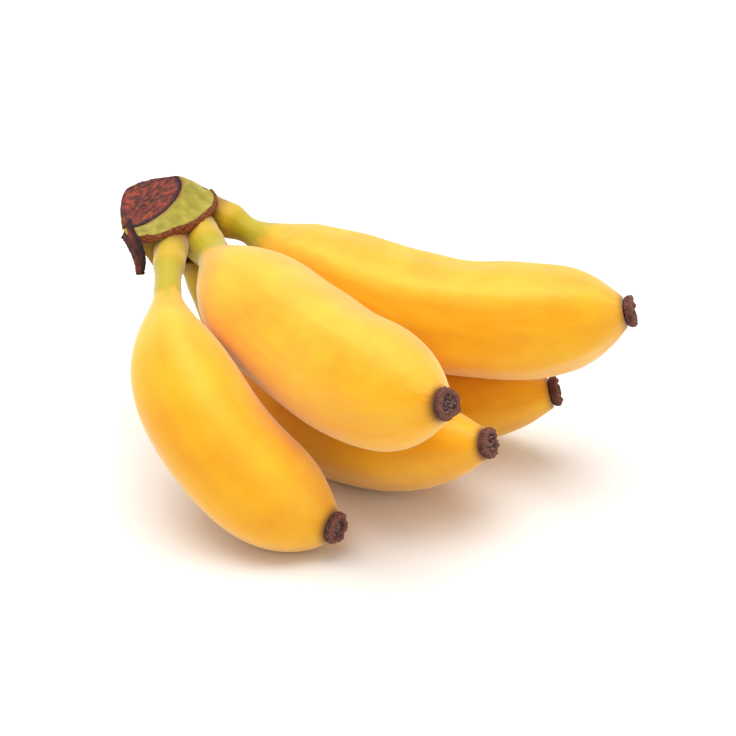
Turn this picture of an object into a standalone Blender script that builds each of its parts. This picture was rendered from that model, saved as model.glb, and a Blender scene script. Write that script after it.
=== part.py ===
"""A hand of five baby bananas on one crown, lying on its lower bananas.

Sizes are in millimetres in the tables below and become metres when a mesh is
made. +Z is up and the flat spots under the lower bananas are at Z = 0. +X runs
along the hand, from the crown to the far tips. The origin is under the middle
of the hand.
"""
import math

import bmesh
import bpy
from mathutils import Matrix, Vector

MM = 0.001
GAP = 0.3                  # clearance between pieces that touch

# The point under the middle of the hand, in the frame of the tables below.
HAND_MIDDLE = Vector((1.44, 0.69, 0.9))

# Each banana follows a smooth curve through space from its root at the crown to
# its blossom end: the two end points and the two handles of one Bezier curve.
# girth: thickness at the fullest place; neck: thickness of the stalk
# swell: share of the length where the stalk starts to swell, and where the
#        banana is fullest; plump: how soon it fills out; blunt: how square its
#        end is; ridge: height of the five long ridges as a share of the radius
# roll: turn of the ridges about the axis, degrees; root: length of stalk that
#       belongs to the crown; sunk: how deep that root starts inside the crown
BANANAS = {
    "finger_1": dict(axis=((-58, 29, 56), (-58.5, -44, 49), (-36, -32, 10.8), (-10, -48.5, 10.5)),
                     girth=31.6, neck=8.2, swell=(0.20, 0.72), plump=4.4, blunt=3.2,
                     ridge=0.030, roll=32, root=7, sunk=6),
    "finger_2": dict(axis=((-51, 41, 55.5), (-37.5, 7, 50.5), (-1.5, -34, 41.5), (19.5, -52.5, 52)),
                     girth=35.4, neck=10.6, swell=(0.11, 0.69), plump=8.1, blunt=2.8,
                     ridge=0.022, roll=12, root=11, sunk=2),
    "finger_3": dict(axis=((-51, 36, 48.5), (-43.5, 26.5, 8), (-20.5, -6.5, 7.5), (32, -30.5, 26)),
                     girth=27.6, neck=8.3, swell=(0.14, 0.64), plump=5.2, blunt=3.1,
                     ridge=0.030, roll=20, root=7, sunk=1),
    "finger_4": dict(axis=((-45.5, 52.5, 56), (-7.5, 35.5, 44), (7, 2.5, 37.2), (72, -6, 54)),
                     girth=33.6, neck=8.2, swell=(0.08, 0.69), plump=6.9, blunt=3.8,
                     ridge=0.040, roll=35, root=5, sunk=5),
    "finger_5": dict(axis=((-48.5, 48.5, 47.5), (-19.5, 36.5, 8.2), (11.5, 8.5, 8.5), (53.5, 6.5, 20.5)),
                     girth=25.6, neck=8.4, swell=(0.15, 0.64), plump=2.9, blunt=2.7,
                     ridge=0.030, roll=20, root=7, sunk=1),
}
SWELL_POWER = 1.5          # how gently the belly starts to swell
RIDGES = 5                 # long ridges round a banana
RIDGE_SHARPNESS = 0.25     # share of the second wave, which narrows the ridges
RIDGE_RISE = 0.15          # share of the length over which the ridges rise
RIDGE_FADE = 0.93          # share of the length where they start to fade
SIDES = 25                 # faces round a banana
RINGS = 25                 # rings along a banana
RING_CROWDING = 0.08       # how much closer the rings are near both ends
ROOT_RINGS = 4             # rings along the short root in the crown
ROOT_FLARE = 1.0           # how much the stalk widens where it meets the crown
ROOT_FLARE_LENGTH = 5.0
END_RADIUS = 4.4           # of the flat face that the blossom end sits on
AXIS_STEPS = 240           # samples used to measure along an axis

# The dried flower remains: a turned cup, as radius and height.
BLOSSOM_PROFILE = (
    (0.0, 1.6), (1.5, 1.8), (2.6, 2.5), (3.6, 2.9), (4.5, 2.5), (4.8, 1.6), (4.5, 0.6), (4.2, 0.0),
    (0.0, 0.0),
)
BLOSSOM_SIDES = 20
MERGE_DISTANCE = 0.00001   # metres, for the points on the turning axis

# The crown, in its own directions: ALONG the row of stalks and OUT towards the
# bananas. Its front is an arc, which bends back by distance squared over ARC.
ROW_AZIMUTH = math.radians(57.5)
ALONG = Vector((math.cos(ROW_AZIMUTH), math.sin(ROW_AZIMUTH), 0))
OUT = Vector((math.sin(ROW_AZIMUTH), -math.cos(ROW_AZIMUTH), 0))
FRONT_MIDDLE = 3.5         # along
FRONT_OUT = -62.9          # out
ARC = 58.0
END_ROUNDING = 2.5         # how far the front turns back at its two ends
END_POWER = 8              # how late it turns
BACK_BOW = 1.7             # how full the back of the crown is
CUT_TILT = 0.10            # rise of the cut face along the row
CUT_RISE = 0.15            # rise of the cut face towards its back
CUT_SKEW = 0.20            # the cut edge draws back along the row
CUT_EDGE_BACK = 8.0        # distance of the cut edge behind the front
# height, near end, far end, front set back, depth, share of the cut face's slopes
CROWN_LEVELS = (
    (43.0, -1.0, 13.0, 8.0, 3.5, 0),
    (44.5, -4.5, 16.5, 5.0, 8.5, 0),
    (48.0, -7.5, 19.5, 2.6, 13.0, 0),
    (53.0, -10.5, 21.0, 1.4, 17.0, 0),
    (58.6, -14.2, 21.8, 1.2, 20.5, 0),
    (59.8, -15.2, 22.0, 0.6, 21.8, 0),
    (60.4, -15.8, 22.5, -0.8, 23.4, 0),
    (62.2, -15.8, 22.4, -0.2, 23.4, 0),
    (62.8, -15.6, 22.0, 2.2, 21.4, 0.1),
    (64.4, -15.4, 19.5, 4.8, 18.0, 0.5),
    (66.0, -15.2, 16.0, 7.8, 15.5, 1.0),
)
CROWN_STEPS = 12           # faces along the front, and along the back

# The torn dried strip that hangs from the crown's near end.
STRIP_PATH = ((-70.5, 29, 63), (-68.2, 24.5, 60.8), (-66.9, 22.3, 56.9), (-66.8, 21, 52))
STRIP_WIDTH = (8.0, 6.0, 5.0, 2.6)
STRIP_THICKNESS = 2.0
STRIP_SIDES = 8


def clear_scene():
    for item in list(bpy.data.objects):
        bpy.data.objects.remove(item, do_unlink=True)


def new_collection(name, hidden=False):
    collection = bpy.data.collections.new(name)
    bpy.context.scene.collection.children.link(collection)
    collection.hide_render = hidden
    return collection


def skin(name, red, green, blue, roughness):
    """A plain finish, with its colour as linear red, green and blue."""
    material = bpy.data.materials.new(name)
    material.use_nodes = True
    shader = material.node_tree.nodes["Principled BSDF"]
    shader.inputs["Base Color"].default_value = (red, green, blue, 1)
    shader.inputs["Roughness"].default_value = roughness
    shader.inputs["Metallic"].default_value = 0
    return material


def to_world(point):
    return (Vector(point) - HAND_MIDDLE) * MM


def add_object(name, bm, collection, material):
    """Turn a mesh under construction into a smooth shaded object."""
    bmesh.ops.recalc_face_normals(bm, faces=bm.faces)
    mesh = bpy.data.meshes.new(name)
    bm.to_mesh(mesh)
    bm.free()
    item = bpy.data.objects.new(name, mesh)
    collection.objects.link(item)
    mesh.shade_smooth()
    mesh.set_sharp_from_angle(angle=math.radians(40))
    if material:
        mesh.materials.append(material)
    return item


def loft(rings):
    """A closed skin over a row of rings with the same number of points."""
    bm = bmesh.new()
    loops = [[bm.verts.new(to_world(point)) for point in ring] for ring in rings]
    count = len(loops[0])
    for near, far in zip(loops, loops[1:]):
        for k in range(count):
            following = (k + 1) % count
            bm.faces.new((near[k], near[following], far[following], far[k]))
    bm.faces.new(loops[0])
    bm.faces.new(loops[-1])
    return bm


def bezier(points, t):
    a, b, c, d = (Vector(point) for point in points)
    u = 1 - t
    return a * u**3 + b * 3 * u * u * t + c * 3 * u * t * t + d * t**3


def smooth_step(low, high, value):
    t = min(max((value - low) / (high - low), 0), 1)
    return t * t * (3 - 2 * t)


class Axis:
    """The middle line of a banana, measured by the share of its length."""

    def __init__(self, control, roll):
        self.points = [bezier(control, k / AXIS_STEPS) for k in range(AXIS_STEPS + 1)]
        self.reach = [0.0]
        for before, after in zip(self.points, self.points[1:]):
            self.reach.append(self.reach[-1] + (after - before).length)
        self.length = self.reach[-1]
        self.tangents = [self.tangent_at(k) for k in range(AXIS_STEPS + 1)]
        self.sides = self.carried_sides(roll)

    def tangent_at(self, k):
        before = self.points[max(k - 1, 0)]
        after = self.points[min(k + 1, AXIS_STEPS)]
        return (after - before).normalized()

    def carried_sides(self, roll):
        """A direction across the axis, carried from the tip without twist."""
        last = self.tangents[-1]
        side = (Vector((0, 0, 1)) - last * last.z).normalized()
        side = Matrix.Rotation(math.radians(roll), 3, last) @ side
        sides = [side]
        for tangent in reversed(self.tangents[:-1]):
            side = (side - tangent * side.dot(tangent)).normalized()
            sides.append(side)
        return sides[::-1]

    def at(self, share):
        """Centre and the three directions at a share of the length."""
        distance = min(max(share, 0), 1) * self.length
        k = 0
        while k < AXIS_STEPS - 1 and self.reach[k + 1] < distance:
            k += 1
        t = (distance - self.reach[k]) / (self.reach[k + 1] - self.reach[k])
        centre = self.points[k].lerp(self.points[k + 1], t)
        tangent = self.tangents[k].lerp(self.tangents[k + 1], t).normalized()
        side = self.sides[k].lerp(self.sides[k + 1], t)
        side = (side - tangent * side.dot(tangent)).normalized()
        return centre, tangent, side, tangent.cross(side)


def radius_at(banana, share, length):
    """Stalk, swelling belly and blunt end, as one formula along the axis."""
    neck = banana["neck"] / 2
    full = banana["girth"] / 2
    start, fullest = banana["swell"]
    if share < fullest:
        x = max((share - start) / (fullest - start), 0)
        radius = neck + (full - neck) * (1 - (1 - x**SWELL_POWER) ** banana["plump"])
    else:
        y = (share - fullest) / (1 - fullest)
        radius = END_RADIUS + (full - END_RADIUS) * (1 - y ** banana["blunt"])
    return radius + ROOT_FLARE * math.exp(-((share * length / ROOT_FLARE_LENGTH) ** 2))


def banana_ring(banana, axis, share):
    """One section: a circle raised into soft ridges away from the stalk."""
    centre, _, side, across = axis.at(share)
    radius = radius_at(banana, share, axis.length)
    start = banana["swell"][0]
    ridge = banana["ridge"] * smooth_step(start, start + RIDGE_RISE, share)
    ridge *= 1 - smooth_step(RIDGE_FADE, 1, share)
    ring = []
    for k in range(SIDES):
        angle = 2 * math.pi * k / SIDES
        relief = math.cos(RIDGES * angle)
        relief += RIDGE_SHARPNESS * math.cos(2 * RIDGES * angle)
        spoke = radius * (1 + ridge * relief)
        ring.append(centre + (side * math.cos(angle) + across * math.sin(angle)) * spoke)
    return ring


def rest_flat(bm):
    """Cut off what reaches below the surface, which leaves a small flat spot."""
    everything = bm.verts[:] + bm.edges[:] + bm.faces[:]
    bmesh.ops.bisect_plane(bm, geom=everything, dist=1e-7, plane_co=(0, 0, 0),
                           plane_no=(0, 0, -1), clear_outer=True)
    open_edges = [edge for edge in bm.edges if edge.is_boundary]
    if open_edges:
        bmesh.ops.holes_fill(bm, edges=open_edges, sides=0)


def banana_body(name, banana, collection, material):
    axis = Axis(banana["axis"], banana["roll"])
    start = banana["root"] / axis.length
    rings = []
    for k in range(RINGS + 1):
        t = k / RINGS
        eased = t - RING_CROWDING * math.sin(2 * math.pi * t)
        rings.append(banana_ring(banana, axis, start + (1 - start) * eased))
    bm = loft(rings)
    rest_flat(bm)
    return add_object(name, bm, collection, material)


def banana_root(name, banana, collection):
    """The short piece of stalk that the crown keeps, sunk into the crown."""
    axis = Axis(banana["axis"], banana["roll"])
    end = (banana["root"] - GAP) / axis.length
    rings = [banana_ring(banana, axis, end * k / ROOT_RINGS) for k in range(ROOT_RINGS + 1)]
    inward = -axis.tangents[0] * banana["sunk"]
    rings.insert(0, [point + inward for point in rings[0]])
    return add_object(name, loft(rings), collection, None)


def blossom_end(name, banana, collection, material):
    """The dried flower remains, turned from a profile at the banana's end."""
    axis = Axis(banana["axis"], banana["roll"])
    centre, tangent, side, across = axis.at(1)
    mesh = bpy.data.meshes.new(name)
    points = [(radius * MM, 0, height * MM) for radius, height in BLOSSOM_PROFILE]
    mesh.from_pydata(points, [(k, k + 1) for k in range(len(points) - 1)], [])
    mesh.materials.append(material)
    item = bpy.data.objects.new(name, mesh)
    collection.objects.link(item)
    turn = Matrix((side, across, tangent)).transposed().to_4x4()
    item.matrix_world = Matrix.Translation(to_world(centre + tangent * GAP)) @ turn
    screw = item.modifiers.new("turned", "SCREW")
    screw.steps = BLOSSOM_SIDES
    screw.render_steps = BLOSSOM_SIDES
    screw.use_merge_vertices = True
    screw.merge_threshold = MERGE_DISTANCE
    screw.use_smooth_shade = True
    return item


def crown_point(along, back, height, slope):
    """A point of the crown from its place along the row and behind the front."""
    from_middle = along - FRONT_MIDDLE
    back += slope * CUT_SKEW * from_middle
    lift = slope * (CUT_TILT * from_middle + CUT_RISE * (back - CUT_EDGE_BACK))
    out = FRONT_OUT - from_middle**2 / ARC - back
    return ALONG * along + OUT * out + Vector((0, 0, height + lift))


def crown_ring(height, near_end, far_end, front, depth, slope):
    """One level of the crown: a shallow arc in front and a deep bow behind."""
    middle = (near_end + far_end) / 2
    half_length = (far_end - near_end) / 2
    ring = []
    for k in range(2 * CROWN_STEPS):
        x = -math.cos(math.pi * k / CROWN_STEPS)
        along = middle + half_length * x
        if k <= CROWN_STEPS:
            back = front + END_ROUNDING * x**END_POWER
        else:
            bow = 1 - abs(x) ** BACK_BOW
            back = front + END_ROUNDING + (depth - END_ROUNDING) * bow
        ring.append(crown_point(along, back, height, slope))
    return ring


def strip_rings():
    """Flat sections along the hanging strip, narrower towards its tip."""
    rings = []
    points = [Vector(point) for point in STRIP_PATH]
    for k, (centre, width) in enumerate(zip(points, STRIP_WIDTH)):
        before = points[max(k - 1, 0)]
        after = points[min(k + 1, len(points) - 1)]
        tangent = (after - before).normalized()
        wide = tangent.cross(ALONG).normalized() * width / 2
        thick = wide.cross(tangent).normalized() * STRIP_THICKNESS / 2
        angles = [2 * math.pi * j / STRIP_SIDES for j in range(STRIP_SIDES)]
        rings.append([centre + wide * math.cos(a) + thick * math.sin(a) for a in angles])
    return rings


def crown(collection, cutters, material):
    """The cushion with its roots and its hanging strip, joined as one body."""
    body = add_object("crown", loft([crown_ring(*level) for level in CROWN_LEVELS]),
                      collection, material)
    for name, banana in BANANAS.items():
        banana_root(name + "_root", banana, cutters)
    add_object("hanging_strip", loft(strip_rings()), cutters, None)
    for item in cutters.objects:
        item.hide_render = True
        item.display_type = "WIRE"
    join = body.modifiers.new("grown_together", "BOOLEAN")
    join.operation = "UNION"
    join.solver = "EXACT"
    join.operand_type = "COLLECTION"
    join.collection = cutters
    return body


def build():
    clear_scene()
    parts = new_collection("banana_hand")
    cutters = new_collection("joined_to_crown", hidden=True)
    green = skin("young_stalk_green", 0.42, 0.50, 0.05, 0.45)
    yellow = skin("ripe_peel_yellow", 0.90, 0.55, 0.03, 0.40)
    brown = skin("dried_flower_brown", 0.10, 0.03, 0.02, 0.80)
    crown(parts, cutters, green)
    for name, banana in BANANAS.items():
        banana_body(name, banana, parts, yellow)
        blossom_end(name.replace("finger", "blossom_end"), banana, parts, brown)


build()
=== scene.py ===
"""Looks of a hand of five baby bananas on one crown, lying on a white surface.

Shapes are worked out in millimetres, in the frame of the tables below, and
become metres when a mesh is made: +Z is up, +X runs from the crown to the far
tips, and the surface that the hand lies on is at Z = 0 once moved.
"""
import math

import bpy
import numpy as np
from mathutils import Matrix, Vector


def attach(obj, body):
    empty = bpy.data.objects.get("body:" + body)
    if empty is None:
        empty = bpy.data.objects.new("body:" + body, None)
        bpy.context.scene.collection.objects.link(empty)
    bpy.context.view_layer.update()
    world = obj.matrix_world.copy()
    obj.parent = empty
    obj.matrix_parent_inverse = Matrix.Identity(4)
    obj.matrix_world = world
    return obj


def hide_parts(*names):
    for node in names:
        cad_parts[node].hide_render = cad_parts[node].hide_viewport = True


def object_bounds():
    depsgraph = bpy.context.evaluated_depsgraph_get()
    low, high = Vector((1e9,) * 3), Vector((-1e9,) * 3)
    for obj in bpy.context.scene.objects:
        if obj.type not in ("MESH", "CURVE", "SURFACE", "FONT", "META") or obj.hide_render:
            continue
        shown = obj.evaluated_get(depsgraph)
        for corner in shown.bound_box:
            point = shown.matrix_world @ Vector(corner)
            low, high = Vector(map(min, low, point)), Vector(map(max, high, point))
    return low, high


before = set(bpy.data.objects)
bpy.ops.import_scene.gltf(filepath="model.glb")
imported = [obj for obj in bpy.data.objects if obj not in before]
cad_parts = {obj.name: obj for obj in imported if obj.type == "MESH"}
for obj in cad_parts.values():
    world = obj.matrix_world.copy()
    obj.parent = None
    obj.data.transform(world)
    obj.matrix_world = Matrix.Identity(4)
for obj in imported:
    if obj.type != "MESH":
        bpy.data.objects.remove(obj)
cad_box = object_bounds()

MM = 0.001
HAND_MIDDLE = np.array((1.44, 0.69, 0.9))
UP = np.array((0.0, 0.0, 1.0))
TURN = 2 * math.pi

# Each banana's middle line is a Bezier curve: two end points and two handles.
# girth, neck: thickness at the fullest place and of the stalk
# swell: share of the length where the stalk starts to swell and where it is fullest
# plump, blunt: how soon it fills out, how square its end is
# ridge, roll: height and turn of the long ridges; crisp: how narrow they are
# sunk: how deep the stalk starts inside the crown; knuckle, bulge: where its
# joint bulges, as distance from the root, and by how much
# green: how far from the root the skin is green
BANANAS = {
    "finger_1": dict(axis=((-58, 29, 56), (-58.5, -44, 49), (-36, -32, 10.8), (-10, -48.5, 10.5)),
                     girth=31.6, neck=8.2, swell=(0.20, 0.72), plump=4.4, blunt=3.2,
                     ridge=0.030, roll=32, crisp=1.5,
                     sunk=6, knuckle=8.0, bulge=0.55, green=27.0),
    "finger_2": dict(axis=((-51, 41, 55.5), (-37.5, 7, 50.5), (-1.5, -34, 41.5), (19.5, -52.5, 52)),
                     girth=35.4, neck=10.6, swell=(0.11, 0.69), plump=8.1, blunt=2.8,
                     ridge=0.022, roll=12, crisp=1.2,
                     sunk=2, knuckle=7.0, bulge=0.7, green=20.0),
    "finger_3": dict(axis=((-51, 36, 48.5), (-43.5, 26.5, 8), (-20.5, -6.5, 7.5), (32, -30.5, 26)),
                     girth=27.6, neck=8.3, swell=(0.14, 0.64), plump=5.2, blunt=3.1,
                     ridge=0.030, roll=20, crisp=1.4,
                     sunk=1, knuckle=7.0, bulge=0.4, green=16.0),
    "finger_4": dict(axis=((-45.5, 52.5, 56), (-7.5, 35.5, 44), (7, 2.5, 37.2), (72, -6, 54)),
                     girth=33.6, neck=8.2, swell=(0.08, 0.69), plump=6.9, blunt=3.8,
                     ridge=0.040, roll=35, crisp=2.2,
                     sunk=5, knuckle=5.0, bulge=0.9, green=20.0),
    "finger_5": dict(axis=((-48.5, 48.5, 47.5), (-19.5, 36.5, 8.2), (11.5, 8.5, 8.5), (53.5, 6.5, 20.5)),
                     girth=25.6, neck=8.4, swell=(0.15, 0.64), plump=2.9, blunt=2.7,
                     ridge=0.030, roll=20, crisp=1.4,
                     sunk=1, knuckle=7.0, bulge=0.4, green=14.0),
}
SWELL_POWER = 1.5
RIDGES = 5
RIDGE_RISE = 0.15
RIDGE_FADE = 0.93
RIDGE_LOW, RIDGE_SPAN = -0.75, 2.0
ROOT_FLARE, ROOT_FLARE_LENGTH = 1.0, 5.0
END_RADIUS = 4.4
AXIS_STEPS = 240
PEEL_COLUMNS = 168
PEEL_ROW = 0.62            # spacing of the rows along a banana, where it is plain
GAP = 0.3
BOX_MARGIN = 1e-6          # metres

# The crown: ALONG its row of stalks and OUT towards the bananas.
ROW_AZIMUTH = math.radians(57.5)
ALONG = np.array((math.cos(ROW_AZIMUTH), math.sin(ROW_AZIMUTH), 0))
OUT = np.array((math.sin(ROW_AZIMUTH), -math.cos(ROW_AZIMUTH), 0))
FRONT_MIDDLE, FRONT_OUT, ARC = 3.5, -62.9, 58.0
END_ROUNDING, END_POWER, BACK_BOW = 2.5, 8, 1.7
CUT_TILT, CUT_RISE, CUT_SKEW, CUT_EDGE_BACK = 0.10, 0.15, 0.20, 8.0
# height, near end, far end, front set back, depth, share of the cut face's slopes
CROWN_LEVELS = np.array((
    (43.0, -1.0, 13.0, 8.0, 3.5, 0),
    (44.5, -4.5, 16.5, 5.0, 8.5, 0),
    (48.0, -7.5, 19.5, 2.6, 13.0, 0),
    (53.0, -10.5, 21.0, 1.4, 17.0, 0),
    (58.6, -14.2, 21.8, 1.2, 20.5, 0),
    (59.8, -15.2, 22.0, 0.6, 21.8, 0),
    (60.4, -15.8, 22.5, -0.8, 23.4, 0),
    (62.2, -15.8, 22.4, -0.2, 23.4, 0),
    (62.8, -15.6, 22.0, 2.2, 21.4, 0.1),
    (64.4, -15.4, 19.5, 4.8, 18.0, 0.5),
    (66.0, -15.2, 16.0, 7.8, 15.5, 1.0),
))

# The torn dried strip that hangs from the crown's near end.
STRIP_PATH = ((-70.5, 29, 63), (-68.2, 24.5, 60.8), (-66.9, 22.3, 56.9), (-66.8, 21, 52))
STRIP_WIDTH = (8.0, 6.0, 5.0, 2.6)


def unit(vectors):
    return vectors / np.linalg.norm(vectors, axis=-1, keepdims=True)


def smooth_step(low, high, value):
    """0 below low, 1 above high, and an S-shaped blend between."""
    t = np.clip((value - low) / (high - low), 0, 1)
    return t * t * (3 - 2 * t)


def waves(place, wavelength, seed, count=14):
    """Uneven relief: a sum of plane waves in random directions, about 1 high."""
    draw = np.random.default_rng(seed)
    heading = unit(draw.normal(size=(count, 3)))
    pace = TURN / wavelength * draw.uniform(0.6, 1.6, count)
    start = draw.uniform(0, TURN, count)
    phase = place @ (heading * pace[:, None]).T + start
    return np.sin(phase).sum(axis=-1) * math.sqrt(2 / count)


def inside_box(points):
    """Points in metres, held inside the solid model's box, so that the flat spots
    lie on the surface and nothing reaches past the solids."""
    low, high = (np.array(corner, float) for corner in cad_box)
    return np.clip(points, low + BOX_MARGIN, high - BOX_MARGIN)


def close_grid(rows, columns):
    """Faces over a grid that closes on itself sideways; the two ends come to a
    point each, which are the two points after the grid's own."""
    row = np.arange(rows - 1)[:, None] * columns
    column = np.arange(columns)[None, :]
    following = (column + 1) % columns
    quads = np.stack((row + column, row + following, row + columns + following,
                      row + columns + column), axis=-1).reshape(-1, 4)
    first, last = rows * columns, rows * columns + 1
    column = column[0]
    following = following[0]
    top = (rows - 1) * columns
    lids = [np.stack((following, column, np.full(columns, first)), axis=-1),
            np.stack((top + column, top + following, np.full(columns, last)), axis=-1)]
    return quads.tolist() + lids[0].tolist() + lids[1].tolist()


def make_piece(name, points, faces, marks, material, replaced):
    """An object from points in millimetres and faces, with marks: values kept at
    each point for the material, one number or three."""
    mesh = bpy.data.meshes.new(name)
    mesh.from_pydata(inside_box((points - HAND_MIDDLE) * MM).tolist(), [], faces)
    for mark, values in marks.items():
        kind, field = ("FLOAT", "value") if values.shape[1] == 1 else ("FLOAT_VECTOR", "vector")
        layer = mesh.attributes.new(mark, kind, "POINT")
        layer.data.foreach_set(field, values.astype(np.float32).ravel())
    mesh.shade_smooth()
    mesh.materials.append(material)
    piece = bpy.data.objects.new(name, mesh)
    bpy.context.scene.collection.objects.link(piece)
    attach(piece, "root")
    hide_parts(replaced)
    return piece


def capped(values):
    """A grid of values as a list of rows, with the means of its first and last
    row added for the two points that close the grid's ends."""
    rows, columns = values.shape[:2]
    values = values.reshape(rows, columns, -1)
    return np.vstack((values.reshape(rows * columns, -1), values[0].mean(axis=0), values[-1].mean(axis=0)))


def add_piece(name, grid, material, replaced, marks):
    """A closed piece from a grid of points, rows by columns by 3, whose rows close
    on themselves and whose first and last row each close to a point."""
    rows, columns = grid.shape[:2]
    marks = {mark: capped(values) for mark, values in marks.items()}
    return make_piece(name, capped(grid), close_grid(rows, columns), marks, material, replaced)


def add_ring(name, grid, material, replaced, marks):
    """A closed band from a grid that closes on itself both ways."""
    rows, columns = grid.shape[:2]
    row = np.arange(rows)[:, None]
    column = np.arange(columns)[None, :]
    after, following = (row + 1) % rows, (column + 1) % columns
    faces = np.stack((row * columns + column, row * columns + following,
                      after * columns + following, after * columns + column), axis=-1)
    marks = {mark: values.reshape(rows * columns, -1) for mark, values in marks.items()}
    return make_piece(name, grid.reshape(-1, 3), faces.reshape(-1, 4).tolist(), marks,
                      material, replaced)


class Axis:
    """The middle line of a banana, read at any distance from its root."""

    def __init__(self, control, roll):
        a, b, c, d = (np.array(point, float) for point in control)
        t = np.linspace(0, 1, AXIS_STEPS + 1)[:, None]
        u = 1 - t
        self.points = a * u**3 + b * 3 * u * u * t + c * 3 * u * t * t + d * t**3
        steps = np.linalg.norm(np.diff(self.points, axis=0), axis=1)
        self.reach = np.concatenate(([0], np.cumsum(steps)))
        self.length = self.reach[-1]
        ahead = np.vstack((self.points[1:], self.points[-1:]))
        behind = np.vstack((self.points[:1], self.points[:-1]))
        self.tangents = unit(ahead - behind)
        last = self.tangents[-1]
        side = unit(UP - last * last[2])
        turn = math.radians(roll)
        side = side * math.cos(turn) + np.cross(last, side) * math.sin(turn)
        sides = [side]
        for tangent in self.tangents[-2::-1]:
            side = unit(side - tangent * side.dot(tangent))
            sides.append(side)
        self.sides = np.array(sides[::-1])

    def at(self, distance):
        """Centre, forward, side and across at each distance from the root; before
        the root and past the end the line goes straight on."""
        def read(values):
            return np.stack([np.interp(distance, self.reach, column) for column in values.T], axis=-1)
        forward = unit(read(self.tangents))
        side = read(self.sides)
        side = unit(side - forward * np.sum(side * forward, axis=-1, keepdims=True))
        beyond = np.minimum(distance, 0) + np.maximum(distance - self.length, 0)
        centre = read(self.points) + forward * beyond[:, None]
        return centre, forward, side, np.cross(forward, side)


def radius_along(banana, share, length):
    """Stalk, swelling belly and blunt end: the belly rises from the stalk as one
    minus a power of (1 - x to 1.5), the end falls as a power of the share left."""
    neck, full = banana["neck"] / 2, banana["girth"] / 2
    start, fullest = banana["swell"]
    x = np.clip((share - start) / (fullest - start), 0, 1)
    belly = neck + (full - neck) * (1 - (1 - x**SWELL_POWER) ** banana["plump"])
    y = np.clip((share - fullest) / (1 - fullest), 0, 1)
    end = END_RADIUS + (full - END_RADIUS) * (1 - y ** banana["blunt"])
    flare = ROOT_FLARE * np.exp(-(np.maximum(share, 0) * length / ROOT_FLARE_LENGTH) ** 2)
    return np.where(share < fullest, belly, end) + flare


def peel(name, material):
    """A banana's skin: rings round its middle line. Each ring's radius is the
    radius along the line, raised into five ridges, with a bulge at the stalk's
    joint, ribs along the stalk, pleats that gather at the tip, and slow dents."""
    banana = BANANAS[name]
    seed = int(name[-1])
    axis = Axis(banana["axis"], banana["roll"])
    length = axis.length
    even = np.linspace(-banana["sunk"], length, int((length + banana["sunk"]) / PEEL_ROW))
    crowd = 1 + 1.6 * np.exp(-((even - length) / 7) ** 2) + 1.0 * np.exp(-((even - 6) / 7) ** 2)
    pace = np.concatenate(([0], np.cumsum((crowd[1:] + crowd[:-1]) / 2)))
    count = int(pace[-1])
    distance = np.interp(np.linspace(0, pace[-1], count), pace, even)
    share = distance / length
    angle = np.arange(PEEL_COLUMNS) * TURN / PEEL_COLUMNS
    centre, forward, side, across = axis.at(distance)
    radius = radius_along(banana, share, length)[:, None]
    d, a = distance[:, None], angle[None, :]
    to_tip = length - d
    straight = (radius * np.cos(a), radius * np.sin(a), d + 300.0 * seed)
    straight = np.stack(np.broadcast_arrays(*straight), axis=-1)

    start = banana["swell"][0]
    ridge = banana["ridge"] * smooth_step(start, start + RIDGE_RISE, share)
    ridge *= 1 - smooth_step(RIDGE_FADE, 1, share)
    crest = ((1 + np.cos(RIDGES * a)) / 2) ** banana["crisp"]
    spoke = radius * (1 + ridge[:, None] * (RIDGE_LOW + RIDGE_SPAN * crest))

    body = smooth_step(10, 30, d)
    spoke = spoke + 0.16 * body * waves(straight, 34, seed)
    spoke = spoke + 0.035 * body * waves(straight * (1, 1, 0.25), 4.5, seed + 10)
    bulge = np.exp(-((d - banana["knuckle"]) / 3.0) ** 2)
    pinch = np.exp(-((d - banana["knuckle"] - 7.5) / 4.0) ** 2)
    spoke = spoke + banana["bulge"] * bulge - 0.2 * pinch
    stalk = 1 - smooth_step(banana["green"] - 6, banana["green"] + 8, d)
    ribs = np.cos(9 * a + waves(straight, 18, seed + 20)) + 0.6 * np.cos(17 * a + 1.3 * seed)
    spoke = spoke + 0.02 * stalk * ribs
    gather = smooth_step(9, 0.5, to_tip) ** 1.5
    wander = 0.8 * waves(straight, 9, seed + 30)
    folds = np.cos(13 * a + wander) + 0.8 * np.cos(21 * a - wander + seed) + 0.5 * np.cos(34 * a + wander)
    spoke = spoke + 0.045 * gather * folds

    sweep = side[:, None, :] * np.cos(a)[..., None] + across[:, None, :] * np.sin(a)[..., None]
    grid = centre[:, None, :] + sweep * spoke[..., None]
    # the skin turns in under the dried flower and closes there
    for inward, drop in ((0.8, 0.1), (0.45, 0.35), (0.12, 0.4)):
        ring = centre[-1] - forward[-1] * drop + sweep[-1] * spoke[-1][:, None] * inward
        grid = np.concatenate((grid, ring[None]))

    def extended(values):
        values = np.broadcast_to(values, (count, PEEL_COLUMNS) + values.shape[2:])
        return np.concatenate((values, np.repeat(values[-1:], 3, axis=0)))

    green_end = banana["green"] + 3 * waves(straight, 16, seed + 40) + 4 * crest
    marks = {
        "straight": extended(straight),
        "green": extended(1 - smooth_step(green_end - 12, green_end + 10, d)),
        "knuckle": extended(np.exp(-((d - banana["knuckle"] + 1.5) / 4.0) ** 2)),
        # ridge: the ridge crests, painted paler yellow in the material as a painted highlight
        "ridge": extended(crest * body),
        "tip": extended(np.exp(-to_tip / 1.1)),
        # root: painted shade, browner skin in the crease where the stalk enters the crown
        "root": extended(np.exp(-np.maximum(d, 0) / 2.5)),
    }
    return add_piece(name, grid, material, name, marks)


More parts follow.
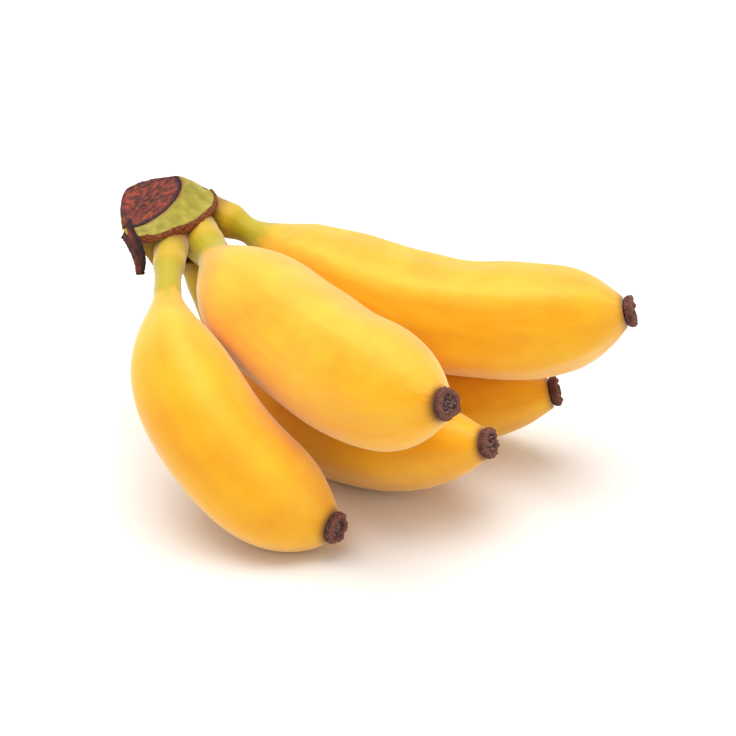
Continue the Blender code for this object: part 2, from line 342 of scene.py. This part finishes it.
BLOSSOM_PROFILE = np.array((
    (0.0, 1.3), (1.2, 1.35), (2.3, 1.6), (3.1, 2.45), (3.8, 2.85), (4.4, 2.55), (4.72, 1.8),
    (4.75, 1.2), (4.55, 0.6), (4.3, 0.1), (3.6, -0.3), (0.3, -0.3),
))
BLOSSOM_ROWS, BLOSSOM_COLUMNS = 90, 132


def blossom(name, banana_name, material):
    """The dried flower: a ring turned from a smooth profile. Its outline and its
    rim's height vary with the angle, wrinkles run over the rim, and the hollow
    middle is lumpy."""
    banana = BANANAS[banana_name]
    seed = 50 + int(name[-1])
    draw = np.random.default_rng(seed)
    axis = Axis(banana["axis"], banana["roll"])
    centre, forward, side, across = (values[0] for values in axis.at(np.array([axis.length])))
    knots = np.concatenate(([0], np.cumsum(np.linalg.norm(np.diff(BLOSSOM_PROFILE, axis=0), axis=1))))
    t = np.linspace(0.02 * knots[-1], knots[-1], BLOSSOM_ROWS)
    r = rounded(t, knots, BLOSSOM_PROFILE[:, 0])[:, None]
    h = rounded(t, knots, BLOSSOM_PROFILE[:, 1])[:, None]
    a = np.arange(BLOSSOM_COLUMNS)[None, :] * TURN / BLOSSOM_COLUMNS
    phase = draw.uniform(0, TURN, 6)
    outline = 1 - 0.05 * (1 + np.cos(3 * a + phase[0])) - 0.035 * (1 + np.cos(5 * a + phase[1]))
    rim = np.exp(-((r - 3.9) / 0.9) ** 2) * smooth_step(1.2, 2.0, h)
    lobes = 0.22 * (np.cos(6 * a + phase[2]) - 1) + 0.15 * (np.cos(10 * a + phase[3]) - 1)
    place = np.stack(np.broadcast_arrays(r * np.cos(a), r * np.sin(a), h), axis=-1)
    middle = 1 - smooth_step(2.2, 3.2, r)
    lumps = 0.30 * middle * waves(place, 1.7, seed) * smooth_step(0, 0.8, r)
    rough = 0.07 * waves(place, 0.8, seed + 1)
    wrinkles = 0.07 * np.cos(31 * a + 1.5 * waves(place, 3, seed + 2)) * smooth_step(2.5, 3.5, r)
    above = smooth_step(-0.1, 0.5, h)
    high = h + (rim * lobes + lumps + rough) * above
    wide = r * outline + (wrinkles + rough) * above * smooth_step(0.3, 2.0, r)
    wide = np.minimum(wide, 4.78)
    high = np.minimum(high, 2.88)
    sweep = side * np.cos(a)[..., None] + across * np.sin(a)[..., None]
    grid = centre + sweep * wide[..., None] + forward * (high[..., None] + GAP)
    marks = {
        # crest: where the rim lies, painted paler in the material as a painted highlight
        "crest": np.broadcast_to(rim, wide.shape),
        "middle": np.broadcast_to(middle * above, wide.shape),
        "local": place + 20.0 * seed,
    }
    return add_piece(name, grid[:, ::-1], material, name,
                     {key: values[:, ::-1] for key, values in marks.items()})


def rounded(t, knots, values):
    """A smooth curve through the values at the knots: cubic pieces whose slope at
    a knot is that of the line between its two neighbours."""
    slope = np.gradient(values, knots)
    k = np.clip(np.searchsorted(knots, t, side="right") - 1, 0, len(knots) - 2)
    span = knots[k + 1] - knots[k]
    x = (t - knots[k]) / span
    start, end = values[k], values[k + 1]
    return (start * (1 + 2 * x) * (1 - x)**2 + end * x * x * (3 - 2 * x)
            + span * (slope[k] * x * (1 - x)**2 - slope[k + 1] * x * x * (1 - x)))


def crown_place(along, back, height, slope):
    """A place on the crown: along its row, back from its arched front, raised and
    skewed by the cut face's slopes."""
    from_middle = along - FRONT_MIDDLE
    back = back + slope * CUT_SKEW * from_middle
    lift = slope * (CUT_TILT * from_middle + CUT_RISE * (back - CUT_EDGE_BACK))
    out = FRONT_OUT - from_middle**2 / ARC - back
    return along[..., None] * ALONG + out[..., None] * OUT + (height + lift)[..., None] * UP


CROWN_COLUMNS = 240


def crown_rings(level):
    """Level rings at each place in the table of levels, counted from 0: a shallow
    arc in front and a deep bow behind. Also tells which points are in front."""
    spots = np.arange(len(CROWN_LEVELS))
    height, near, far, front, depth, slope = (rounded(level, spots, column)[:, None]
                                              for column in CROWN_LEVELS.T)
    k = np.arange(CROWN_COLUMNS)
    x = -np.cos(TURN * k / CROWN_COLUMNS)
    in_front = k <= CROWN_COLUMNS // 2
    ahead = front + END_ROUNDING * x**END_POWER
    behind = front + END_ROUNDING + (depth - END_ROUNDING) * (1 - np.abs(x) ** BACK_BOW)
    along = (near + far) / 2 + (far - near) / 2 * x
    back = np.where(in_front, ahead, behind)
    height, slope = np.broadcast_to(height, along.shape), np.broadcast_to(slope, along.shape)
    return (along, back, height, slope), in_front


def cushion(material):
    """The crown's green skin, from its narrow underside over the scar to the cut
    edge, then inward under the dried cut."""
    level = np.concatenate((np.linspace(0, 5, 70), np.linspace(5, 8, 40)[1:], np.linspace(8, 10, 50)[1:]))
    places, _ = crown_rings(level)
    grid = crown_place(*places)
    middle = grid.mean(axis=1, keepdims=True)
    outward = unit(grid - middle)
    fade = smooth_step(0, 1, level)[:, None, None] * (1 - smooth_step(9.6, 10, level)[:, None, None])
    dents = 0.18 * waves(grid, 11, 71) + 0.05 * waves(grid, 3, 72)
    grid = grid + outward * dents[..., None] * fade
    top = grid[-1]
    centre = top.mean(axis=0)
    grid = grid - UP * (0.35 * smooth_step(9.7, 10, level))[:, None, None]
    for inward, drop in ((0.96, 0.6), (0.9, 1.7), (0.7, 1.7), (0.4, 1.7), (0.1, 1.7)):
        ring = centre + (top - centre) * inward - UP * drop
        grid = np.concatenate((grid, ring[None]))
    height_mark = np.concatenate((level, np.full(5, 10.0)))[:, None] * np.ones(CROWN_COLUMNS)
    marks = {"level": height_mark}
    return add_piece("crown", grid, material, "crown", marks)


def scar(material):
    """The corky bract scar: a rough band round the crown whose section is a flat
    half ellipse, with its back sunk in the skin."""
    columns = 420
    places, _ = crown_rings(np.array([5.6, 6.5, 7.5]))
    rings = crown_place(*places)
    turn = np.linspace(0, 1, columns, endpoint=False)
    source = np.arange(CROWN_COLUMNS + 1) / CROWN_COLUMNS
    low, middle, high = (np.stack([np.interp(turn, source, np.append(ring[:, j], ring[0, j]))
                                   for j in range(3)], axis=-1) for ring in rings)
    centre = middle.mean(axis=0)
    outward = unit((middle - centre) * (1, 1, 0))
    v = np.linspace(0, TURN, 48, endpoint=False)[:, None]
    rise = np.where(np.cos(v) > 0, 0.55, 0.8) * np.cos(v)
    tall = 1.45 * np.sin(v)
    walked = np.concatenate(([0], np.cumsum(np.linalg.norm(np.diff(middle, axis=0), axis=1))))
    local = np.stack(np.broadcast_arrays(walked[None, :], tall * 1.3, 0 * v), axis=-1)
    place = middle[None] + UP * tall[..., None] + outward[None] * rise[..., None]
    hatch = np.sin(TURN * (walked[None, :] + 1.1 * tall) / 1.15 + 1.6 * waves(place, 3.0, 81))
    rough = 0.13 * hatch + 0.09 * waves(place, 0.9, 82) + 0.10 * waves(place, 2.4, 83)
    place = place + outward[None] * (rough * np.maximum(np.cos(v), 0))[..., None]
    lift = 0.22 * waves(place, 5.0, 84) + 0.08 * waves(place, 1.5, 85)
    place = place + UP * (lift * np.abs(np.sin(v)))[..., None]
    marks = {"local": local, "edge": np.broadcast_to(np.abs(np.sin(v)), rough.shape),
             "hatch": hatch * np.ones_like(rough)}
    return add_ring("bract_scar", place, material, "crown", marks)


def dried_cut(material):
    """The cut face, dried to fibres: rings that shrink from the crown's cut edge
    to its middle, proud of the skin, with torn fibres and a curled margin."""
    places, in_front = crown_rings(np.array([10.0]))
    edge = crown_place(*places)[0]
    centre = edge.mean(axis=0)
    inward = np.concatenate((np.linspace(0.93, 0.995, 4), np.linspace(1.0, 0.02, 90)))
    drop = np.concatenate((np.full(3, -1.1), [-0.9], np.zeros(90)))
    ring = inward[:, None]
    grid = centre + (edge - centre)[None] * ring[..., None]
    rim = smooth_step(0.80, 0.97, ring)
    top = (np.arange(len(inward)) > 3)[:, None]
    fibre = waves(grid @ fibre_turn(), 0.8, 91, 30)
    relief = 0.10 * np.abs(fibre) + 0.12 * waves(grid, 3.5, 92) + 0.16 * rim * waves(grid, 1.6, 93)
    lift = np.where(top, -0.35 + relief * (1 - smooth_step(0.985, 1.0, ring)), drop[:, None])
    grid = grid + UP * lift[..., None]
    grid[..., 2] = np.minimum(grid[..., 2], CUT_TOP)
    marks = {"margin": smooth_step(0.72, 1.0, ring) * np.where(in_front, 1.0, 0.35),
             "local": grid @ fibre_turn()}
    return add_piece("dried_cut", grid, material, "crown", marks)


CUT_TOP = 67.41 + 0.9


def fibre_turn():
    """Turns and squeezes places so that a pattern lies in streaks along the row."""
    return np.stack((ALONG * 0.35, OUT * 1.0, UP * 1.0), axis=-1)


def strip(material):
    """The torn strip: flat sections along its path, curled at both edges and
    wrinkled lengthwise, narrowing to its tip."""
    path = np.array(STRIP_PATH, float)
    knots = np.arange(len(path), dtype=float)
    t = np.linspace(0, len(path) - 1, 120)
    middle = np.stack([rounded(t, knots, column) for column in path.T], axis=-1)
    width = rounded(t, knots, np.array(STRIP_WIDTH))
    forward = unit(np.gradient(middle, axis=0))
    wide = unit(np.cross(forward, ALONG))
    thick = unit(np.cross(wide, forward))
    v = np.linspace(0, TURN, 72, endpoint=False)[None, :]
    flat = np.cos(v) * width[:, None] / 2
    thin = np.sin(v) * 0.55
    curl = 0.9 * (np.abs(np.cos(v)) ** 2) * smooth_step(0.3, 2.5, t)[:, None]
    place = middle[:, None] + wide[:, None] * flat[..., None]
    place = place + thick[:, None] * (thin + curl - 0.4)[..., None]
    rough = 0.10 * waves(place, 1.2, 101) + 0.15 * waves(place, 4, 102)
    wrinkle = 0.10 * np.sin(7 * np.cos(v) + waves(place, 6, 103))
    place = place + thick[:, None] * ((rough + wrinkle) * np.sign(np.sin(v)))[..., None]
    marks = {"local": np.stack(np.broadcast_arrays(flat, thin, 3 * t[:, None]), axis=-1),
             "margin": np.broadcast_to(np.abs(np.cos(v)), flat.shape)}
    return add_piece("hanging_strip", place, material, "crown", marks)


def linear(code):
    """An sRGB hex colour as linear red, green and blue, with full opacity."""
    channels = np.array([int(code[k:k + 2], 16) for k in (1, 3, 5)]) / 255
    low = channels / 12.92
    high = ((channels + 0.055) / 1.055) ** 2.4
    return (*np.where(channels <= 0.04045, low, high).tolist(), 1.0)


def add_node(tree, kind, inputs=None, out=0, stops=None, **settings):
    """Add one node with its settings, its inputs by name or number (a value, or an
    output to link) and its ramp's stops, and give back one of its outputs."""
    made = tree.nodes.new(kind)
    for key, value in settings.items():
        setattr(made, key, value)
    for key, value in (inputs or {}).items():
        if isinstance(value, bpy.types.NodeSocket):
            tree.links.new(value, made.inputs[key])
        else:
            made.inputs[key].default_value = value
    for index, (place, colour) in enumerate(stops or ()):
        elements = made.color_ramp.elements
        element = elements[index] if index < 2 else elements.new(place)
        element.position = place
        element.color = linear(colour)
    return made.outputs[out]


def new_material(name, **constants):
    material = bpy.data.materials.new(name)
    material.use_nodes = True
    shader = material.node_tree.nodes["Principled BSDF"]
    for socket, value in constants.items():
        shader.inputs[socket.replace("_", " ")].default_value = value
    return material, material.node_tree, shader


def paint(tree, colour, layers):
    """Colours laid over one another: each layer is a share, the values of that
    share where the layer starts and is full, how much it covers, and its colour."""
    for share, low, high, cover, code in layers:
        amount = add_node(tree, "ShaderNodeMapRange",
                          {"Value": share, "From Min": low, "From Max": high, "To Max": cover},
                          interpolation_type="SMOOTHSTEP")
        colour = add_node(tree, "ShaderNodeMix", {0: amount, 6: colour, 7: linear(code)}, out=2,
                          data_type="RGBA")
    return colour


def finish_skin(tree, shader, colour, relief, depth):
    """Link the colour, and a fine relief of a depth in millimetres, to the shader."""
    raised = add_node(tree, "ShaderNodeBump", {"Height": relief, "Distance": depth * MM})
    tree.links.new(colour, shader.inputs["Base Color"])
    tree.links.new(raised, shader.inputs["Normal"])


def ripe_peel():
    """Ripe banana peel with its thin wax bloom, as grown: a deep warm yellow that
    pales to cream where it is seen along the surface, with broad soft highlights,
    faint lengthwise fibres, and lime green left on the stalk. The paler yellow on
    the ridge crests is a painted highlight, and the brown where the stalk enters
    the crown is painted shade."""
    material, tree, shader = new_material(
        "ripe_banana_peel", Subsurface_Weight=0.06, Subsurface_Radius=(3.0, 1.4, 0.3),
        Subsurface_Scale=MM, IOR=1.45, Specular_IOR_Level=0.25, Roughness=0.45,
        Sheen_Weight=0.60, Sheen_Roughness=0.50, Sheen_Tint=linear("#FFF4DA"))
    marks = {name: add_node(tree, "ShaderNodeAttribute", out="Fac", attribute_name=name)
             for name in ("green", "knuckle", "ridge", "tip", "root")}
    place = add_node(tree, "ShaderNodeAttribute", out="Vector", attribute_name="straight")
    drawn = add_node(tree, "ShaderNodeMapping", {"Vector": place, "Scale": (1, 1, 0.05)})
    clouds = add_node(tree, "ShaderNodeTexNoise", {"Vector": place, "Scale": 1 / 16, "Detail": 2.0})
    fibres = add_node(tree, "ShaderNodeTexNoise", {"Vector": drawn, "Scale": 1.0, "Detail": 4.0})
    streaks = add_node(tree, "ShaderNodeTexNoise", {"Vector": drawn, "Scale": 0.2, "Detail": 2.0})
    patches = add_node(tree, "ShaderNodeTexNoise", {"Vector": place, "Scale": 0.2, "Detail": 3.0})
    pores = add_node(tree, "ShaderNodeTexNoise", {"Vector": place, "Scale": 2.8, "Detail": 2.0})
    specks = add_node(tree, "ShaderNodeTexVoronoi", {"Vector": place, "Scale": 0.28})
    limey = add_node(tree, "ShaderNodeMath", {0: patches, 1: 0.6, 2: marks["green"]},
                     operation="MULTIPLY_ADD")
    colour = add_node(tree, "ShaderNodeValToRGB", {"Fac": clouds},
                      stops=((0.30, "#EEA200"), (0.72, "#F6B70E"), (0.5, "#F2AC02")))
    colour = paint(tree, colour, (
        (fibres, 0.45, 0.75, 0.15, "#F9C440"),
        (streaks, 0.50, 0.75, 0.16, "#E28F00"),
        # painted highlight: the ridge crests painted paler, as if they caught the light
        (marks["ridge"], 0.0, 1.0, 0.20, "#F9C848"),
        (limey, 0.40, 1.20, 0.95, "#AE9E02"),
        (marks["knuckle"], 0.2, 1.0, 0.60, "#D2A408"),
        (specks, 0.09, 0.04, 0.16, "#9C6412"),
        # painted shade: brown in the crease where the stalk enters the crown
        (marks["root"], 0.0, 1.0, 0.70, "#8A4A12"),
        (marks["tip"], 0.0, 1.0, 0.75, "#7A4A16"),
    ))
    relief = add_node(tree, "ShaderNodeMath", {0: fibres, 1: pores}, operation="ADD")
    finish_skin(tree, shader, colour, relief, 0.035)
    return material


def young_crown_skin():
    """Fresh crown skin: smooth, olive to lime green with paler mottling, browned
    where it was bruised along the cut."""
    material, tree, shader = new_material(
        "young_crown_skin", Subsurface_Weight=0.05, Subsurface_Radius=(2.0, 1.4, 0.3),
        Subsurface_Scale=MM, IOR=1.45, Specular_IOR_Level=0.35, Roughness=0.45,
        Sheen_Weight=0.25, Sheen_Roughness=0.40, Sheen_Tint=linear("#FFF4D6"))
    level = add_node(tree, "ShaderNodeAttribute", out="Fac", attribute_name="level")
    place = add_node(tree, "ShaderNodeTexCoord", out="Object")
    mottle = add_node(tree, "ShaderNodeTexNoise", {"Vector": place, "Scale": 260.0, "Detail": 4.0})
    grain = add_node(tree, "ShaderNodeTexNoise", {"Vector": place, "Scale": 1600.0, "Detail": 4.0})
    ragged = add_node(tree, "ShaderNodeMath", {0: mottle, 1: 1.2, 2: level}, operation="MULTIPLY_ADD")
    colour = add_node(tree, "ShaderNodeValToRGB", {"Fac": mottle},
                      stops=((0.30, "#857C14"), (0.70, "#AFA03C"), (0.5, "#988C22")))
    colour = paint(tree, colour, (
        (level, 5.6, 4.6, 1.0, "#A07808"),
        (ragged, 10.2, 10.6, 0.8, "#8A4E20"),
    ))
    finish_skin(tree, shader, colour, grain, 0.10)
    return material


def corky_scar():
    """Cork that grew over the bract's scar: dull sienna, cracked across in fine
    slanting lines, darker along both edges."""
    material, tree, shader = new_material("corky_bract_scar", IOR=1.45, Roughness=0.8)
    hatch = add_node(tree, "ShaderNodeAttribute", out="Fac", attribute_name="hatch")
    edge = add_node(tree, "ShaderNodeAttribute", out="Fac", attribute_name="edge")
    place = add_node(tree, "ShaderNodeAttribute", out="Vector", attribute_name="local")
    grain = add_node(tree, "ShaderNodeTexNoise", {"Vector": place, "Scale": 1.2, "Detail": 5.0})
    fine = add_node(tree, "ShaderNodeTexNoise", {"Vector": place, "Scale": 2.5, "Detail": 5.0})
    colour = add_node(tree, "ShaderNodeValToRGB", {"Fac": grain},
                      stops=((0.30, "#75391A"), (0.72, "#A9622F"), (0.5, "#8E4C23")))
    colour = paint(tree, colour, (
        (hatch, -0.2, -0.9, 0.45, "#56290F"),
        (edge, 0.80, 0.98, 0.80, "#55291A"),
    ))
    finish_skin(tree, shader, colour, fine, 0.15)
    return material


def dried_fibre(name, stretch):
    """Cut crown flesh, dried: dull red-brown with torn orange-red fibres in short
    streaks, nearly black-purple along its shrunken front margin."""
    material, tree, shader = new_material(name, IOR=1.45, Roughness=0.75)
    margin = add_node(tree, "ShaderNodeAttribute", out="Fac", attribute_name="margin")
    place = add_node(tree, "ShaderNodeAttribute", out="Vector", attribute_name="local")
    drawn = add_node(tree, "ShaderNodeMapping", {"Vector": place, "Scale": stretch})
    streaks = add_node(tree, "ShaderNodeTexNoise", {"Vector": drawn, "Scale": 1.1, "Detail": 5.0})
    clouds = add_node(tree, "ShaderNodeTexNoise", {"Vector": place, "Scale": 0.25, "Detail": 3.0})
    colour = add_node(tree, "ShaderNodeValToRGB", {"Fac": streaks},
                      stops=((0.36, "#3A1814"), (0.68, "#A5441F"), (0.52, "#642820")))
    colour = paint(tree, colour, (
        (clouds, 0.45, 0.70, 0.45, "#7E3020"),
        (margin, 0.10, 0.85, 0.95, "#220E0E"),
    ))
    finish_skin(tree, shader, colour, streaks, 0.35)
    return material


def dried_flower():
    """Dried flower remains: dark brown and wrinkled, its curled rim painted paler as
    a painted highlight, and a grey, crumbly middle."""
    material, tree, shader = new_material("dried_flower_remains", IOR=1.45, Roughness=0.7)
    crest = add_node(tree, "ShaderNodeAttribute", out="Fac", attribute_name="crest")
    middle = add_node(tree, "ShaderNodeAttribute", out="Fac", attribute_name="middle")
    place = add_node(tree, "ShaderNodeAttribute", out="Vector", attribute_name="local")
    grain = add_node(tree, "ShaderNodeTexNoise", {"Vector": place, "Scale": 1.4, "Detail": 5.0})
    fine = add_node(tree, "ShaderNodeTexNoise", {"Vector": place, "Scale": 2.9, "Detail": 5.0})
    crumbs = add_node(tree, "ShaderNodeMath", {0: middle, 1: grain}, operation="MULTIPLY")
    colour = add_node(tree, "ShaderNodeValToRGB", {"Fac": grain},
                      stops=((0.30, "#3A1B15"), (0.75, "#86503F"), (0.5, "#5C3027")))
    colour = paint(tree, colour, (
        # painted highlight: the curled rim painted paler, as if it caught the light
        (crest, 0.0, 1.0, 0.40, "#9A6452"),
        (crumbs, 0.42, 0.60, 0.70, "#9A857C"),
    ))
    finish_skin(tree, shader, colour, fine, 0.25)
    return material


def white_surface():
    """Matt white paper: the plain surface that the hand lies on."""
    material, tree, shader = new_material("white_paper", Roughness=0.9, Specular_IOR_Level=0.1)
    shader.inputs["Base Color"].default_value = linear("#F4F3F1")
    return material


def stage_and_camera():
    mesh = bpy.data.meshes.new("white_surface")
    half = 3.0
    mesh.from_pydata([(-half, -half, -2e-5), (half, -half, -2e-5), (half, half, -2e-5), (-half, half, -2e-5)],
                     [], [(0, 1, 2, 3)])
    mesh.materials.append(white_surface())
    floor = bpy.data.objects.new("white_surface", mesh)
    bpy.context.scene.collection.objects.link(floor)

    camera_data = bpy.data.cameras.new("camera")
    camera_data.lens = 102.68
    camera_data.sensor_width = 36.0
    camera_data.clip_end = 20.0
    camera = bpy.data.objects.new("camera", camera_data)
    camera.location = (-0.00144, -0.52420, 0.33390)
    camera.rotation_euler = (math.radians(60), 0, 0)
    bpy.context.scene.collection.objects.link(camera)
    bpy.context.scene.camera = camera

    for name, place, aim, size, power, colour in LIGHTS:
        data = bpy.data.lights.new(name, "AREA")
        data.shape = "DISK"
        data.size = size
        data.energy = power
        data.color = colour
        light = bpy.data.objects.new(name, data)
        light.location = place
        heading = np.array(aim) - np.array(place)
        light.rotation_euler = (math.acos(-heading[2] / np.linalg.norm(heading)), 0,
                                math.atan2(heading[1], heading[0]) - math.pi / 2)
        bpy.context.scene.collection.objects.link(light)

    world = bpy.data.worlds.new("studio")
    world.use_nodes = True
    background = world.node_tree.nodes["Background"]
    background.inputs["Color"].default_value = (1, 1, 1, 1)
    background.inputs["Strength"].default_value = 0.68
    bpy.context.scene.world = world
    bpy.context.scene.view_settings.view_transform = "Standard"


LIGHTS = (
    ("overhead_softbox", (-0.06, 0.08, 0.85), (0, 0, 0), 1.00, 8.5, (1.0, 0.99, 0.975)),
)


stage_and_camera()
peel_material = ripe_peel()
flower_material = dried_flower()
for finger in BANANAS:
    peel(finger, peel_material)
    blossom(finger.replace("finger", "blossom_end"), finger, flower_material)
cushion(young_crown_skin())
scar(corky_scar())
dried_cut(dried_fibre("dried_cut_flesh", (1, 1, 1)))
strip(dried_fibre("dried_torn_strip", (1, 1, 0.25)))
